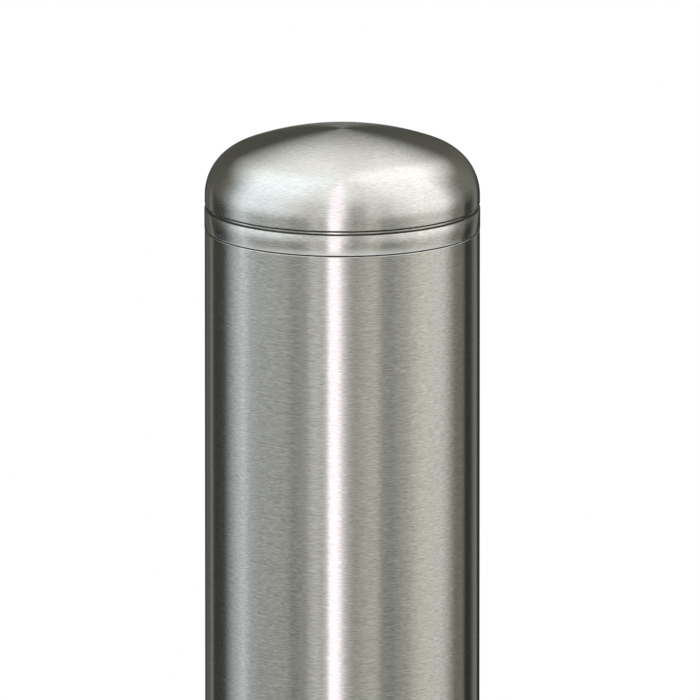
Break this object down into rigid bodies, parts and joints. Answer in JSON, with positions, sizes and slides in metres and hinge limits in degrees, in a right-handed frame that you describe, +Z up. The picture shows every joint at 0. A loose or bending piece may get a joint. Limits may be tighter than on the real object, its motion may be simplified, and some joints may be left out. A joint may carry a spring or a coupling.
{
  "type": "retractable bollard",
  "caption": "Domed brushed stainless bollard post with a reveal groove, lifted by a gas spring out of a galvanised ground casing with a key-turned lock.",
  "frame": {"origin": "centre of the base plate's underside, on the post's axis; finished ground level is 0.9 m above it", "axes": "+Z up along the post's axis, +Y to the back where the lock is, +X to the right where the drain spigot is"},
  "size_m": [0.3, 0.3, 1.6],
  "materials": {
    "brushed_stainless": "stainless steel, brushed round the post, satin",
    "plate_stainless": "stainless steel plate, straight brushed, satin",
    "bolt_steel": "ground steel, bright",
    "galvanised_steel": "hot-dip galvanised steel, dull with spangle",
    "plated_steel": "zinc plated steel, satin",
    "black_enamel": "black enamel, semi-gloss",
    "hard_chrome": "hard chrome, polished",
    "black_rubber": "moulded rubber, matt",
    "guide_polymer": "machined dark polyethylene, matt"
  },
  "bodies": {
    "casing": {"base_plate": "galvanised_steel", "casing_tube": "galvanised_steel", "flange_gussets": "galvanised_steel", "head_flange": "galvanised_steel", "anchor_bars": "galvanised_steel", "drain_spigot": "galvanised_steel", "drain_strainer": "plate_stainless", "anti_rotation_rail": "galvanised_steel", "bottom_buffers": "black_rubber", "upper_guide_bush": "guide_polymer", "stop_ring": "galvanised_steel", "stop_buffer": "black_rubber", "wiper_seal": "black_rubber", "surround_cover": "plate_stainless", "cover_screws": "plate_stainless", "base_clevis": "galvanised_steel", "base_clevis_screws": "plated_steel", "base_clevis_pin": "plated_steel", "base_pin_clip": "plated_steel", "rod_eye_fitting": "plated_steel", "piston_rod": "hard_chrome", "piston": "plated_steel", "piston_nut": "plated_steel", "lock_body": "galvanised_steel", "lock_base": "galvanised_steel", "lock_base_screws": "plated_steel", "lock_screws": "plated_steel", "spindle_seal": "black_rubber", "dust_cover_pivot": "plate_stainless"},
    "post": {"dome_cap": "brushed_stainless", "collar_ring": "brushed_stainless", "post_tube": "brushed_stainless", "head_plate": "galvanised_steel", "cap_stud": "plated_steel", "cap_stud_nut": "plated_steel", "top_clevis": "galvanised_steel", "top_clevis_screws": "plated_steel", "top_clevis_pin": "plated_steel", "top_pin_clip": "plated_steel", "top_eye_fitting": "plated_steel", "gas_cylinder": "black_enamel", "rod_gland": "plated_steel", "foot_ring": "galvanised_steel", "lower_guide_ring": "guide_polymer", "guide_ring_screws": "plated_steel"},
    "lock_barrel": {"lock_spindle": "plated_steel"},
    "lock_bolt": {"rack_bolt": "bolt_steel"},
    "dust_lid": {"dust_cover": "plate_stainless"}
  },
  "joints": [
    {"name": "post_lift", "type": "slide", "parent": "casing", "child": "post", "axis": [0, 0, 1], "range_m": [-0.665, 0], "stiffness_N_per_m": 105, "springref_m": 2.09},
    {"name": "lock_turn", "type": "hinge", "parent": "casing", "child": "lock_barrel", "pos_m": [0, 0.09815, 0.83], "axis": [0, 0, 1], "range_deg": [0, 180]},
    {"name": "bolt_slide", "type": "slide", "parent": "casing", "child": "lock_bolt", "axis": [0, -1, 0], "range_m": [0, 0.0157]},
    {"name": "dust_swing", "type": "hinge", "parent": "casing", "child": "dust_lid", "pos_m": [0.03, 0.09815, 0.9], "axis": [0, 0, -1], "range_deg": [0, 90]}
  ],
  "couplings": [
    {"joint": "lock_turn", "follows": "bolt_slide", "rad_per_m": 200}
  ]
}
